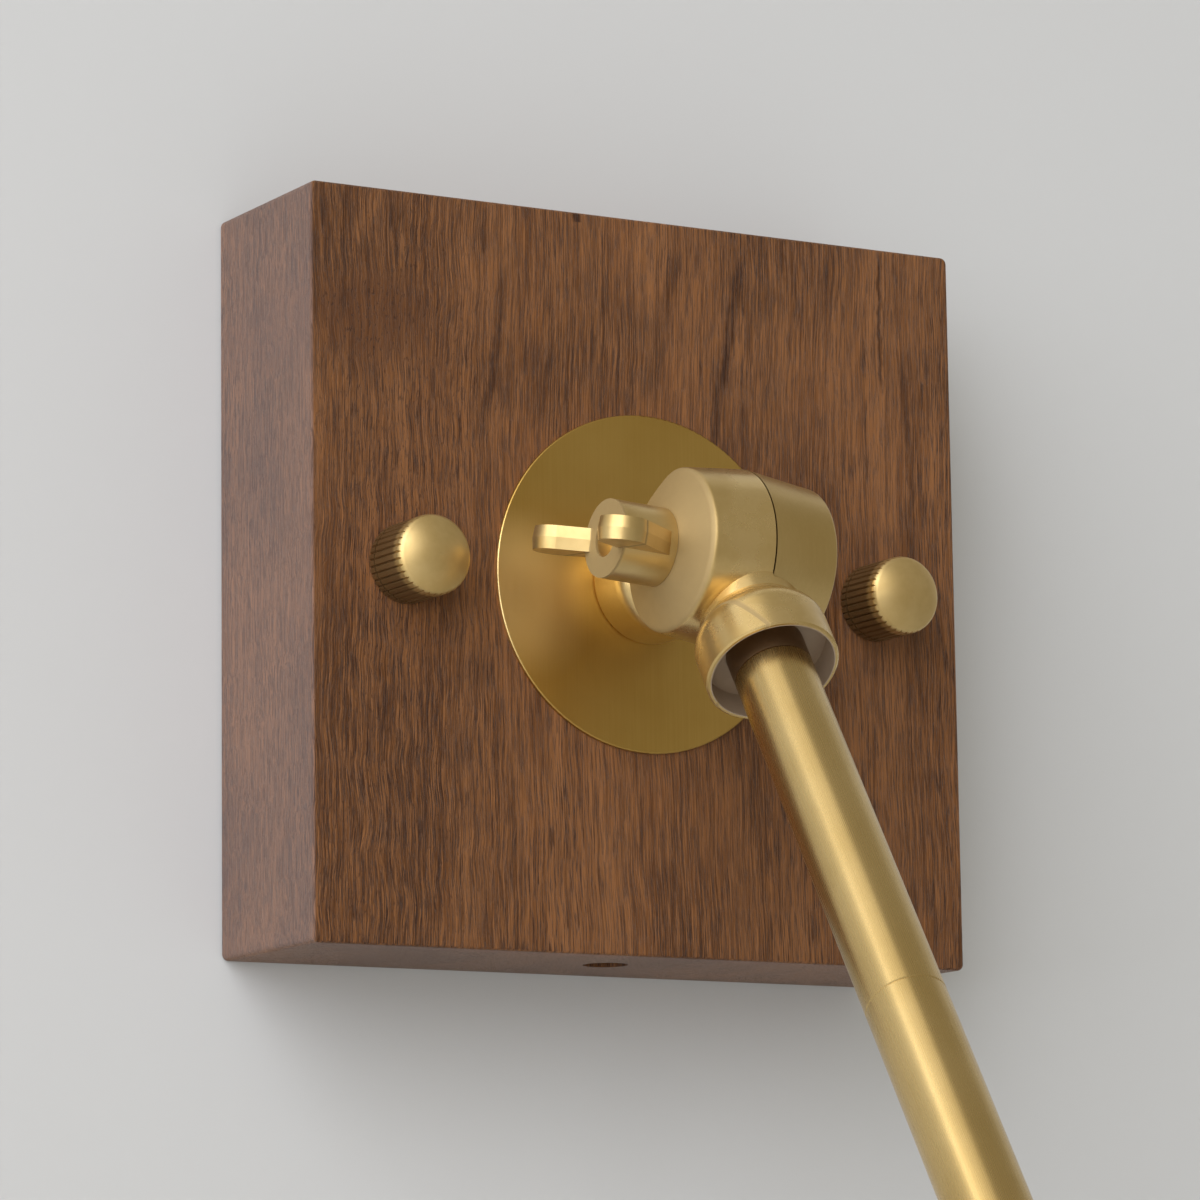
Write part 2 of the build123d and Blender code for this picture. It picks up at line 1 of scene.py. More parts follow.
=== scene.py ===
"""Finishes for an articulating wall lamp: oiled walnut, satin brass, wiring and a plain stage."""

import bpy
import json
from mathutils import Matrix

bl_info = {
    "name": "Articulating wall lamp",
    "version": (1, 0, 0),
    "blender": (4, 5, 0),
    "location": "3D View > Sidebar > Wall lamp",
    "description": "Dresses the wall lamp in walnut and satin brass and sets up its studio",
    "category": "Object",
}

import json
from math import cos, radians, sin

import bpy
from mathutils import Matrix, Vector

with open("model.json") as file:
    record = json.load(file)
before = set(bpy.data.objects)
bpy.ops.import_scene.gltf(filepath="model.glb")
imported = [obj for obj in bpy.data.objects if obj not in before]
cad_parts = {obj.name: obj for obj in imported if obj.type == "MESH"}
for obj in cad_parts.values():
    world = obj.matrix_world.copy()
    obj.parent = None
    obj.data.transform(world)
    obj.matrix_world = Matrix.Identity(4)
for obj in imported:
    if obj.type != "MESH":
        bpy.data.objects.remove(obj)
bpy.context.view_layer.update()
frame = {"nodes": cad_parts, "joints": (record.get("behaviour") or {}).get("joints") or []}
MM = 0.001

# Places and directions read from the frame: the knuckles' pivots, their axis, and the way the arm runs.
JOINTS = {joint["name"]: joint for joint in frame["joints"]}
BASE_PIVOT = Vector(JOINTS["arm_tilt"]["pos_m"])
HEAD_PIVOT = Vector(JOINTS["head_tilt"]["pos_m"])
TILT_AXIS = Vector(JOINTS["head_tilt"]["axis"]).normalized()
ARM_WAY = (HEAD_PIVOT - BASE_PIVOT).normalized()
TO_WALL = Vector((0, 1, 0))
# The line along which the head hangs: square to the tilt axis and parallel to the wall.
UPRIGHT = TILT_AXIS.cross(TO_WALL).normalized()

# A radius just outside the cups' pockets, and how far from the pivot the seat in a pocket lies.
CUP_INNER = 9.1 * MM
CUP_SEAT = 18.5 * MM
# The depth at which a thumb nut's dome turns into its skirt, painted darker for its reflection of the walnut,
# how softly, and how unevenly.
NUT_SKIRT = -36.9 * MM
SKIRT_FADE = 1.1 * MM
SKIRT_UNEVEN = 1.2 * MM
# A sanded end: how far from the pivot it lies, its flat radius, and its fall beyond that radius.
SCREW_END = (20.35 * MM, 6.0 * MM, 0.0)
DRUM_END = (11.7 * MM, 5.9 * MM, 0.364)
# The rosette's painted reflection, a bright patch where it mirrors the drum: its middle, and the radii
# between which it fades.
GLOW_PLACE = Vector((-21, -30, -3)) * MM
GLOW_FADE = (3 * MM, 14 * MM)
# How metallic a lacquered casting looks, and how fine its orange peel is, in waves per metre.
LACQUERED = 0.86
CAST_GRAIN = 1400.0
# How much rougher, and how much less metallic, the raw cups, the dark skirts and the sanded ends look.
RAW_ROUGHER = 0.3
RAW_METAL_LOSS = 0.6
SKIRT_ROUGHER = 0.08
SANDED_ROUGHER = 0.3
SANDED_METAL_LOSS = 0.42
# How strongly the slow drift shows in brushed brass.
BRUSH_DRIFT = 0.7


# ---- settings ---------------------------------------------------------------------

class WoodSettings(bpy.types.PropertyGroup):
    """Colours and figure of the walnut block."""
    light: bpy.props.FloatVectorProperty(
        name="Light fibre", description="Colour of the pale fibres between the pores",
        subtype="COLOR", size=4, min=0, max=1, default=(0.295, 0.127, 0.047, 1))
    middle: bpy.props.FloatVectorProperty(
        name="Body", description="Main colour of the oiled walnut",
        subtype="COLOR", size=4, min=0, max=1, default=(0.175, 0.068, 0.022, 1))
    dark: bpy.props.FloatVectorProperty(
        name="Dark figure", description="Colour of the darker bands and of the pores",
        subtype="COLOR", size=4, min=0, max=1, default=(0.040, 0.012, 0.003, 1))
    # Painted sheen: a paler, greyer colour painted on the block's left side for its grazing reflection of the
    # lit wall.
    painted_side_sheen: bpy.props.FloatVectorProperty(
        name="Dusty side", description="Paler colour that the dry left side takes on",
        subtype="COLOR", size=4, min=0, max=1, default=(0.185, 0.140, 0.138, 1))
    pore_depth: bpy.props.FloatProperty(
        name="Pore depth", description="How deep the open pores are",
        subtype="DISTANCE", unit="LENGTH", min=0, max=0.001, default=0.00012)


class BrassSettings(bpy.types.PropertyGroup):
    """Colour and finish of the satin brass."""
    colour: bpy.props.FloatVectorProperty(
        name="Brass", description="Colour of the brass where it reflects straight back",
        subtype="COLOR", size=4, min=0, max=1, default=(0.64, 0.465, 0.205, 1))
    shade: bpy.props.FloatVectorProperty(
        name="Dull brass", description="Colour of the brass where its lacquer is duller",
        subtype="COLOR", size=4, min=0, max=1, default=(0.55, 0.385, 0.150, 1))
    raw: bpy.props.FloatVectorProperty(
        name="Raw casting", description="Colour of the unpolished metal inside the cups",
        subtype="COLOR", size=4, min=0, max=1, default=(0.56, 0.43, 0.31, 1))
    # Painted reflection: the colour of the bright patch painted on the rosette where it mirrors the drum.
    painted_reflection: bpy.props.FloatVectorProperty(
        name="Polished patch", description="Colour of the patch that handling has kept bright",
        subtype="COLOR", size=4, min=0, max=1, default=(0.98, 0.74, 0.34, 1))
    # Painted reflection: the knurled skirts are coloured dark brown for the walnut they mirror.
    skirt_reflection: bpy.props.FloatVectorProperty(
        name="Patina", description="Colour of the dark knurled skirts",
        subtype="COLOR", size=4, min=0, max=1, default=(0.24, 0.145, 0.06, 1))
    sanded: bpy.props.FloatVectorProperty(
        name="Sanded brass", description="Colour of the paler, sanded ends of the wing screws and knuckles",
        subtype="COLOR", size=4, min=0, max=1, default=(0.44, 0.31, 0.135, 1))
    roughness: bpy.props.FloatProperty(
        name="Roughness", description="Roughness of the spun brass of the head",
        subtype="FACTOR", min=0, max=1, default=0.32)


class SmallPartSettings(bpy.types.PropertyGroup):
    """Colours of the fixings, the wiring, the lampholder and the bulb."""
    steel: bpy.props.FloatVectorProperty(
        name="Steel", description="Colour of the zinc-plated bracket, studs, nipples and nuts",
        subtype="COLOR", size=4, min=0, max=1, default=(0.56, 0.57, 0.58, 1))
    bronze: bpy.props.FloatVectorProperty(
        name="Bronze", description="Colour of the dark rings where the tube enters the cups",
        subtype="COLOR", size=4, min=0, max=1, default=(0.30, 0.19, 0.10, 1))
    fibre: bpy.props.FloatVectorProperty(
        name="Fibre", description="Colour of the friction rings between the knuckle halves",
        subtype="COLOR", size=4, min=0, max=1, default=(0.10, 0.04, 0.03, 1))
    nylon: bpy.props.FloatVectorProperty(
        name="Nylon", description="Colour of the terminal block",
        subtype="COLOR", size=4, min=0, max=1, default=(0.78, 0.78, 0.74, 1))
    contact: bpy.props.FloatVectorProperty(
        name="Contacts", description="Colour of the terminal inserts and the lampholder's contacts",
        subtype="COLOR", size=4, min=0, max=1, default=(0.80, 0.62, 0.28, 1))
    brown: bpy.props.FloatVectorProperty(
        name="Live wire", description="Colour of the live wire's insulation",
        subtype="COLOR", size=4, min=0, max=1, default=(0.14, 0.06, 0.03, 1))
    blue: bpy.props.FloatVectorProperty(
        name="Neutral wire", description="Colour of the neutral wire's insulation",
        subtype="COLOR", size=4, min=0, max=1, default=(0.05, 0.14, 0.42, 1))
    phenolic: bpy.props.FloatVectorProperty(
        name="Phenolic", description="Colour of the lampholder's body and the shade ring",
        subtype="COLOR", size=4, min=0, max=1, default=(0.02, 0.02, 0.02, 1))
    nickel: bpy.props.FloatVectorProperty(
        name="Nickel", description="Colour of the bulb's cap",
        subtype="COLOR", size=4, min=0, max=1, default=(0.66, 0.65, 0.62, 1))
    filament: bpy.props.FloatVectorProperty(
        name="Filament", description="Colour of the coated filaments",
        subtype="COLOR", size=4, min=0, max=1, default=(0.85, 0.50, 0.12, 1))


class StageSettings(bpy.types.PropertyGroup):
    """Camera, lights and backdrop."""
    focal: bpy.props.FloatProperty(
        name="Focal length", description="Lens of the camera, in millimetres on a 36 mm sensor",
        unit="CAMERA", min=20, max=400, default=158.7)
    wall: bpy.props.FloatVectorProperty(
        name="Wall", description="Colour of the plain wall",
        subtype="COLOR", size=4, min=0, max=1, default=(0.652, 0.660, 0.674, 1))
    floor: bpy.props.FloatVectorProperty(
        name="Floor", description="Colour of the plain floor",
        subtype="COLOR", size=4, min=0, max=1, default=(0.60, 0.60, 0.58, 1))
    key: bpy.props.FloatProperty(
        name="Window light", description="Power of the broad light at the left",
        subtype="POWER", unit="POWER", min=0, max=500, default=77)
    fill: bpy.props.FloatProperty(
        name="Fill light", description="Power of the weaker light at the left front",
        subtype="POWER", unit="POWER", min=0, max=500, default=14)
    ceiling: bpy.props.FloatProperty(
        name="Ceiling light", description="Power of the weak light overhead that draws the tube's highlight",
        subtype="POWER", unit="POWER", min=0, max=100, default=2.2)
    world: bpy.props.FloatProperty(
        name="Room light", description="Strength of the even light of the room",
        min=0, max=2, default=0.36)


# ---- node helpers -------------------------------------------------------------------

class Tree:
    """A small hand for laying out shader nodes from left to right."""

    def __init__(self, tree):
        self.tree = tree
        self.column = 0

    def add(self, kind, **settings):
        """Add a node and set its plain properties."""
        node = self.tree.nodes.new(kind)
        node.location = (self.column * 180, 0)
        self.column += 1
        for name, value in settings.items():
            setattr(node, name, value)
        return node

    def join(self, source, target):
        """Link an output to an input, or set the input where a plain value is given."""
        if isinstance(source, bpy.types.NodeSocket):
            self.tree.links.new(source, target)
        else:
            target.default_value = source

    def math(self, operation, first, second=None):
        """A Math node's result."""
        node = self.add("ShaderNodeMath", operation=operation)
        for place, value in enumerate((first, second)):
            if value is not None:
                self.join(value, node.inputs[place])
        return node.outputs[0]

    def span(self, value, low, high, to_low=0.0, to_high=1.0):
        """Map a value smoothly from one span to another, clamped."""
        node = self.add("ShaderNodeMapRange", clamp=True)
        node.interpolation_type = "SMOOTHSTEP"
        for name, amount in (("Value", value), ("From Min", low), ("From Max", high),
                             ("To Min", to_low), ("To Max", to_high)):
            self.join(amount, node.inputs[name])
        return node.outputs["Result"]

    def stretch(self, vector, scale, offset=(0, 0, 0)):
        """Scale and shift a vector."""
        node = self.add("ShaderNodeMapping")
        self.join(vector, node.inputs["Vector"])
        node.inputs["Scale"].default_value = scale
        node.inputs["Location"].default_value = offset
        return node.outputs["Vector"]

    def noise(self, vector, scale=1.0, detail=2.0, roughness=0.5):
        """A noise value."""
        node = self.add("ShaderNodeTexNoise")
        self.join(vector, node.inputs["Vector"])
        for name, amount in (("Scale", scale), ("Detail", detail), ("Roughness", roughness)):
            self.join(amount, node.inputs[name])
        return node.outputs["Fac"]

    def apart(self, vector):
        """A vector's three parts."""
        node = self.add("ShaderNodeSeparateXYZ")
        self.join(vector, node.inputs[0])
        return node.outputs["X"], node.outputs["Y"], node.outputs["Z"]

    def mix(self, factor, first, second):
        """Mix two colours."""
        node = self.add("ShaderNodeMix", data_type="RGBA")
        self.join(factor, node.inputs["Factor"])
        self.join(first, node.inputs["A"])
        self.join(second, node.inputs["B"])
        return node.outputs["Result"]

    def vector(self, operation, first, second=None):
        """A Vector Math node's result, a value for a length or a dot product."""
        node = self.add("ShaderNodeVectorMath", operation=operation)
        for place, value in enumerate((first, second)):
            if value is not None:
                self.join(value, node.inputs[place])
        return node.outputs["Value" if operation in ("LENGTH", "DOT_PRODUCT", "DISTANCE") else "Vector"]

    def group(self, group_tree, **values):
        """Place a node group and set or link its inputs."""
        node = self.add("ShaderNodeGroup", node_tree=group_tree)
        for name, value in values.items():
            self.join(value, node.inputs[name])
        return node


def new_group(name, inputs, outputs):
    """An empty shader node group with named sockets; returns its Tree and its end nodes."""
    made = bpy.data.node_groups.new(name, "ShaderNodeTree")
    kinds = {"value": "NodeSocketFloat", "vector": "NodeSocketVector"}
    for socket_name, kind in inputs:
        made.interface.new_socket(name=socket_name, in_out="INPUT", socket_type=kinds[kind])
    for socket_name in outputs:
        made.interface.new_socket(name=socket_name, in_out="OUTPUT", socket_type=kinds["value"])
    tree = Tree(made)
    return tree, tree.add("NodeGroupInput"), tree.add("NodeGroupOutput")


def new_material(name, metallic=0.0, roughness=0.5):
    """A material with a lone Principled shader; returns it, its Tree, shader and object coordinates."""
    material = bpy.data.materials.new(name)
    material.use_nodes = True
    shader = material.node_tree.nodes["Principled BSDF"]
    shader.inputs["Metallic"].default_value = metallic
    shader.inputs["Roughness"].default_value = roughness
    tree = Tree(material.node_tree)
    coordinates = tree.add("ShaderNodeTexCoord").outputs["Object"]
    return material, tree, shader, coordinates


def bump(tree, shader, height, distance, strength=1.0):
    """Feed a height into a shader's normal."""
    node = tree.add("ShaderNodeBump")
    node.inputs["Strength"].default_value = strength
    node.inputs["Distance"].default_value = distance
    tree.join(height, node.inputs["Height"])
    tree.join(node.outputs["Normal"], shader.inputs["Normal"])


# ---- shared effects --------------------------------------------------------------------

def fine_lines_group():
    """Fine brushed lines along Z of the coordinates it is given, with a slow drift."""
    tree, into, out = new_group(
        "Fine brushed lines", [("Vector", "vector"), ("Drift", "value")], ["Lines", "Drift"])
    vector = into.outputs["Vector"]
    fine = tree.noise(tree.stretch(vector, (9000, 9000, 90)), detail=3, roughness=0.6)
    coarse = tree.noise(tree.stretch(vector, (2600, 2600, 25)))
    lines = tree.math("ADD", tree.math("MULTIPLY", fine, 0.6), tree.math("MULTIPLY", coarse, 0.4))
    slow = tree.noise(vector, scale=60, detail=3)
    tree.join(lines, out.inputs["Lines"])
    tree.join(tree.math("MULTIPLY", slow, into.outputs["Drift"]), out.inputs["Drift"])
    return tree.tree


def cast_skin_group():
    """The faint orange-peel and handling marks of a tumbled casting."""
    tree, into, out = new_group("Cast skin", [("Vector", "vector"), ("Grain", "value")], ["Height", "Mottle"])
    vector = into.outputs["Vector"]
    grain = tree.noise(vector, scale=into.outputs["Grain"], detail=3, roughness=0.55)
    wave = tree.noise(vector, scale=220, detail=1)
    height = tree.math("ADD", tree.math("MULTIPLY", grain, 0.35), wave)
    mottle = tree.noise(vector, scale=140, detail=4, roughness=0.6)
    tree.join(height, out.inputs["Height"])
    tree.join(mottle, out.inputs["Mottle"])
    return tree.tree


def along_and_aside(tree, into):
    """How far a point lies along an axis from its pivot, and how far off that axis."""
    rel = tree.vector("SUBTRACT", into.outputs["Vector"], into.outputs["Pivot"])
    along = tree.vector("DOT_PRODUCT", rel, into.outputs["Way"])
    foot = tree.vector("MULTIPLY", into.outputs["Way"], along)
    return along, tree.vector("LENGTH", tree.vector("SUBTRACT", rel, foot))


def cup_group():
    """Where a point lies inside a knuckle's cup, which keeps the skin it was cast with."""
    tree, into, out = new_group(
        "Cup interior", [("Vector", "vector"), ("Pivot", "vector"), ("Way", "vector")], ["Raw"])
    along, aside = along_and_aside(tree, into)
    inside = tree.span(aside, CUP_INNER, CUP_INNER + 0.1 * MM, 1, 0)
    deep = tree.span(along, CUP_SEAT - 0.5 * MM, CUP_SEAT, 0, 1)
    tree.join(tree.math("MULTIPLY", inside, deep), out.inputs["Raw"])
    return tree.tree


def end_face_group():
    """Where a point lies on the sanded end of a turned or coned form, up to a little beyond it."""
    tree, into, out = new_group(
        "End face",
        [("Vector", "vector"), ("Pivot", "vector"), ("Way", "vector"),
         ("Reach", "value"), ("Flat", "value"), ("Slope", "value")],
        ["Face"])
    along, aside = along_and_aside(tree, into)
    beyond = tree.math("MAXIMUM", tree.math("SUBTRACT", aside, into.outputs["Flat"]), 0.0)
    level = tree.math("ADD", along, tree.math("MULTIPLY", beyond, into.outputs["Slope"]))
    level = tree.math("SUBTRACT", level, into.outputs["Reach"])
    reached = tree.span(level, -0.4 * MM, 0.0)
    passed = tree.span(level, 0.25 * MM, 0.35 * MM, 1, 0)
    tree.join(tree.math("MULTIPLY", reached, passed), out.inputs["Face"])
    return tree.tree


EFFECTS = {
    "Fine brushed lines": fine_lines_group,
    "Cast skin": cast_skin_group,
    "Cup interior": cup_group,
    "End face": end_face_group,
}


def effect(name):
    """A shared effect's node group, made when it is first asked for."""
    return bpy.data.node_groups.get(name) or EFFECTS[name]()


# ---- walnut ------------------------------------------------------------------------------

# Lengths in this part are in millimetres.
# The wild figure of the block's left fades out between these two places across the block.
WILD_EDGE = (-34.0, -16.0)
# The knotty patch: its middle, its stretch, how ragged its edge is, where it fades, and its colour.
PATCH_PLACE = (-46.0, -29.0, 35.5)
PATCH_SHAPE = (0.9, 0.3, 1.35)
PATCH_RAGGED = 9.0
PATCH_FADE = (8.0, 19.0)
PATCH_COLOUR = (0.080, 0.028, 0.010, 1)
# Where the block's left side begins, and how much of its colour takes the painted sheen of the lit wall.
SIDE_EDGE = (-54.9, -54.5)
SIDE_SHEEN_SHARE = 0.38

# The walnut's noises: waves per millimetre across, through and up the block, then shift, detail, roughness.
FIGURE = {
    "curl": ((0.055, 0.05, 0.075), (0, 0, 0), 2, 0.6),
    "sway": ((0.02, 0.02, 0.016), (0, 0, 0), 1, 0.5),
    "bands": ((0.16, 0.06, 0.006), (0, 0, 0), 4, 0.6),
    "zones": ((0.035, 0.02, 0.022), (4, 2, 9), 2, 0.5),
    "strand": ((1.5, 1.5, 0.035), (0, 0, 0), 3, 0.6),
    "fibre": ((5.6, 5.6, 0.13), (0, 0, 0), 5, 0.74),
    "long pores": ((5.0, 5.0, 0.17), (7, 3, 1), 3, 0.62),
    "short pores": ((3.0, 3.0, 0.85), (3, 1, 7), 2, 0.5),
    "crowding": ((0.11, 0.05, 0.012), (1, 5, 3), 2, 0.5),
}

# Dark growth lines of the block's front: place across, height, lean, half width, half length, strength.
GROWTH_LINES = (
    (-26.6, 50.5, 0.10, 0.52, 4.0, 0.65),
    (-24.6, 34.0, 0.16, 0.83, 13.0, 0.81),
    (15.6, 40.0, 0.17, 0.90, 11.0, 1.00),
    (12.8, 24.0, 0.06, 0.60, 9.0, 0.78),
    (3.4, 39.0, 0.25, 1.05, 13.0, 0.59),
    (42.3, 44.0, 0.00, 0.42, 12.0, 0.98),
    (47.5, 12.0, -0.04, 0.68, 30.0, 0.65),
    (-49.6, 45.0, -0.03, 0.42, 11.0, 0.78),
    (-37.0, -30.0, 0.05, 0.52, 20.0, 0.45),
    (31.0, -6.0, 0.03, 0.75, 26.0, 0.59),
    (-10.8, 54.2, 0.00, 0.68, 0.8, 1.00),
)


def figure(tree, point, name):
    """One of the walnut's noises."""
    stretch, shift, detail, roughness = FIGURE[name]
    return tree.noise(tree.stretch(point, stretch, shift), detail=detail, roughness=roughness)


def swing(tree, noise, width):
    """A noise turned into a swing to both sides of nought."""
    return tree.math("MULTIPLY", tree.math("SUBTRACT", noise, 0.5), width)


def bent_grain(tree, point, wild):
    """Where a point would lie if the grain, which bends most in the wild figure, were straight."""
    curl = swing(tree, figure(tree, point, "curl"), tree.span(wild, 0, 1, 1.0, 2.6))
    sway = swing(tree, figure(tree, point, "sway"), 5.0)
    slide = tree.add("ShaderNodeCombineXYZ")
    tree.join(tree.math("ADD", curl, sway), slide.inputs["X"])
    return tree.vector("ADD", point, slide.outputs["Vector"])


def knotty_patch(tree, point):
    """Where a point lies in the patch near the upper left, where the fibres end short."""
    middle = tuple(place * shape for place, shape in zip(PATCH_PLACE, PATCH_SHAPE))
    away = tree.vector("DISTANCE", tree.stretch(point, PATCH_SHAPE), middle)
    ragged = tree.math("MULTIPLY", tree.noise(point, scale=0.16), PATCH_RAGGED)
    return tree.span(tree.math("ADD", away, ragged), *PATCH_FADE, 1, 0)


def growth_line(tree, across, height, line):
    """How strongly one dark growth line shows at a point of the block."""
    place, level, lean, width, length, strength = line
    lifted = tree.math("SUBTRACT", height, level)
    away = tree.math("SUBTRACT", tree.math("SUBTRACT", across, place), tree.math("MULTIPLY", lifted, lean))
    near = tree.span(tree.math("ABSOLUTE", away), width * 0.3, width * 1.6, strength, 0)
    along = tree.span(tree.math("ABSOLUTE", lifted), length * 0.7, length, 1, 0)
    return tree.math("MULTIPLY", near, along)


def growth_lines(tree, point, across, height, fibre):
    """All the growth lines together, wavering and broken up by the fibres."""
    wavering = tree.math("ADD", across, swing(tree, tree.noise(point, scale=0.22, detail=3), 2.6))
    strongest = 0.0
    for line in GROWTH_LINES:
        strongest = tree.math("MAXIMUM", strongest, growth_line(tree, wavering, height, line))
    return tree.math("MULTIPLY", strongest, tree.span(fibre, 0.40, 0.66, 1.0, 0.45))


def open_pores(tree, grain, wild, patch):
    """The open pores: long dashes, and short ticks in the patch and the wild figure."""
    dashes = tree.span(figure(tree, grain, "long pores"), 0.51, 0.60)
    dashes = tree.math("MULTIPLY", dashes, tree.span(patch, 0, 1, 1, 0.35))
    ticks = tree.span(figure(tree, grain, "short pores"), 0.56, 0.68)
    ticks = tree.math("MULTIPLY", ticks, tree.math("MAXIMUM", patch, tree.math("MULTIPLY", wild, 0.6)))
    return tree.math("MAXIMUM", dashes, ticks)


def wood_colour(tree, settings, point, grain, patch, fibre):
    """The colour between the pores, laid on from the widest figure to the finest."""
    light, dark = settings.light[:], settings.dark[:]
    colour = tree.mix(tree.span(figure(tree, grain, "bands"), 0.38, 0.64, 0, 0.75), settings.middle[:], light)
    colour = tree.mix(tree.span(figure(tree, point, "zones"), 0.42, 0.64, 0, 0.6), colour, dark)
    colour = tree.mix(tree.span(figure(tree, grain, "strand"), 0.38, 0.58, 0.55, 0), colour, dark)
    colour = tree.mix(tree.span(fibre, 0.44, 0.62, 0, 0.85), colour, light)
    return tree.mix(tree.math("MULTIPLY", patch, 0.55), colour, PATCH_COLOUR)


def walnut_material(settings):
    """Oiled walnut: grain along Z, growth bands, open pores, a patch of wild figure and a painted sheen on
    the left side.
    """
    material, tree, shader, place = new_material("walnut")
    shader.inputs["IOR"].default_value = 1.47
    shader.inputs["Specular IOR Level"].default_value = 0.25
    shader.inputs["Sheen Weight"].default_value = 0.15
    shader.inputs["Sheen Roughness"].default_value = 0.4
    point = tree.stretch(place, (1 / MM, 1 / MM, 1 / MM))
    across, _, height = tree.apart(point)
    wild = tree.span(across, *WILD_EDGE, 1, 0)
    grain = bent_grain(tree, point, wild)
    patch = knotty_patch(tree, point)
    fibre = figure(tree, grain, "fibre")
    pores = open_pores(tree, grain, wild, patch)
    crowding = tree.span(figure(tree, point, "crowding"), 0.38, 0.62, 0.42, 0.82)
    dark = tree.math("MAXIMUM", tree.math("MULTIPLY", pores, crowding),
                     growth_lines(tree, point, across, height, fibre))
    colour = tree.mix(dark, wood_colour(tree, settings, point, grain, patch, fibre), settings.dark[:])
    # Painted sheen: the left side is mixed towards a paler, greyer colour for its grazing reflection of the
    # lit wall.
    side_sheen = tree.math("MULTIPLY", tree.span(across, *SIDE_EDGE, 1, 0), SIDE_SHEEN_SHARE)
    tree.join(tree.mix(side_sheen, colour, settings.painted_side_sheen[:]), shader.inputs["Base Color"])
    rough = tree.span(fibre, 0.3, 0.7, 0.40, 0.50)
    tree.join(tree.math("ADD", rough, tree.math("MULTIPLY", pores, 0.25)), shader.inputs["Roughness"])
    relief = tree.math("SUBTRACT", tree.math("MULTIPLY", fibre, 0.5), pores)
    bump(tree, shader, relief, settings.pore_depth, 0.8)
    return material


# ---- brass and the other finishes ----------------------------------------------------------

def dimmed(colour, share):
    """A darker tone of a colour."""
    return [channel * share for channel in colour[:3]] + [1]


def raise_by(tree, value, mask, amount):
    """A value raised by an amount where a mask says so."""
    return tree.math("ADD", value, tree.math("MULTIPLY", mask, amount))


def cast_brass(settings, name, roughness, cup=None, skirt=None, end=None):
    """Tumbled and lacquered cast brass.

    cup is the pivot and direction of a cup, whose inside is left as it was cast.
    skirt is the depth at which a thumb nut's skirt, painted dark for its reflection of the walnut, begins.
    end is the pivot, direction, reach, flat radius and slope of a sanded end.
    """
    material, tree, shader, place = new_material(name)
    skin = tree.group(effect("Cast skin"), Vector=place, Grain=CAST_GRAIN)
    mottle = skin.outputs["Mottle"]
    colour = tree.mix(tree.span(mottle, 0.35, 0.7), settings.colour[:], settings.shade[:])
    rough = tree.span(mottle, 0.3, 0.7, roughness - 0.03, roughness + 0.05)
    metal = LACQUERED
    if cup:
        pivot, way = cup
        raw = tree.group(effect("Cup interior"), Vector=place, Pivot=pivot, Way=way).outputs["Raw"]
        colour = tree.mix(raw, colour, tree.mix(mottle, settings.raw[:], dimmed(settings.raw, 0.6)))
        rough = raise_by(tree, rough, raw, RAW_ROUGHER)
        metal = raise_by(tree, metal, raw, -RAW_METAL_LOSS)
    # Painted reflection: below the skirt's depth the brass is mixed towards dark brown for the walnut it
    # mirrors, with a ragged edge.
    if skirt:
        uneven = swing(tree, mottle, SKIRT_UNEVEN)
        low = tree.span(tree.math("ADD", tree.apart(place)[1], uneven), skirt, skirt + SKIRT_FADE)
        colour = tree.mix(low, colour, settings.skirt_reflection[:])
        rough = raise_by(tree, rough, low, SKIRT_ROUGHER)
    if end:
        pivot, way, reach, flat, slope = end
        face = tree.group(effect("End face"), Vector=place, Pivot=pivot, Way=way, Reach=reach, Flat=flat,
                          Slope=slope).outputs["Face"]
        colour = tree.mix(face, colour, tree.mix(mottle, settings.sanded[:], dimmed(settings.sanded, 0.8)))
        rough = raise_by(tree, rough, face, SANDED_ROUGHER)
        metal = raise_by(tree, metal, face, -SANDED_METAL_LOSS)
    tree.join(metal, shader.inputs["Metallic"])
    tree.join(colour, shader.inputs["Base Color"])
    tree.join(rough, shader.inputs["Roughness"])
    bump(tree, shader, skin.outputs["Height"], 0.01 * MM)
    return material


def brushed_brass(settings, name, way, roughness, tint=(1, 1, 1), relief=0.004 * MM, glow=None):
    """Satin brass brushed along one direction.

    tint is multiplied into both tones of the brass.
    relief is the depth of the brushed lines.
    glow is the middle of a painted reflection, a patch painted brighter.
    """
    material, tree, shader, place = new_material(name, metallic=1.0)
    clean, dull = [[channel * tone for channel, tone in zip(shade, (*tint, 1))]
                   for shade in (settings.colour, settings.shade)]
    turn = tree.add("ShaderNodeMapping")
    tree.join(place, turn.inputs["Vector"])
    turn.inputs["Rotation"].default_value = way.rotation_difference(Vector((0, 0, 1))).to_euler()
    brushing = tree.group(effect("Fine brushed lines"), Vector=turn.outputs["Vector"], Drift=BRUSH_DRIFT)
    lines, drift = brushing.outputs["Lines"], brushing.outputs["Drift"]
    tone = tree.math("ADD", tree.math("MULTIPLY", lines, 0.35), drift)
    colour = tree.mix(tree.span(tone, 0.35, 0.75), clean, dull)
    if glow:
        # Painted reflection: around glow the brass is mixed towards a brighter colour.
        away = tree.vector("DISTANCE", place, glow)
        colour = tree.mix(tree.span(away, *GLOW_FADE, 1, 0), colour, settings.painted_reflection[:])
    tree.join(colour, shader.inputs["Base Color"])
    rough = tree.span(lines, 0.3, 0.7, 0.92 * roughness, 1.1 * roughness)
    tree.join(raise_by(tree, rough, drift, 0.06), shader.inputs["Roughness"])
    bump(tree, shader, lines, relief)
    return material


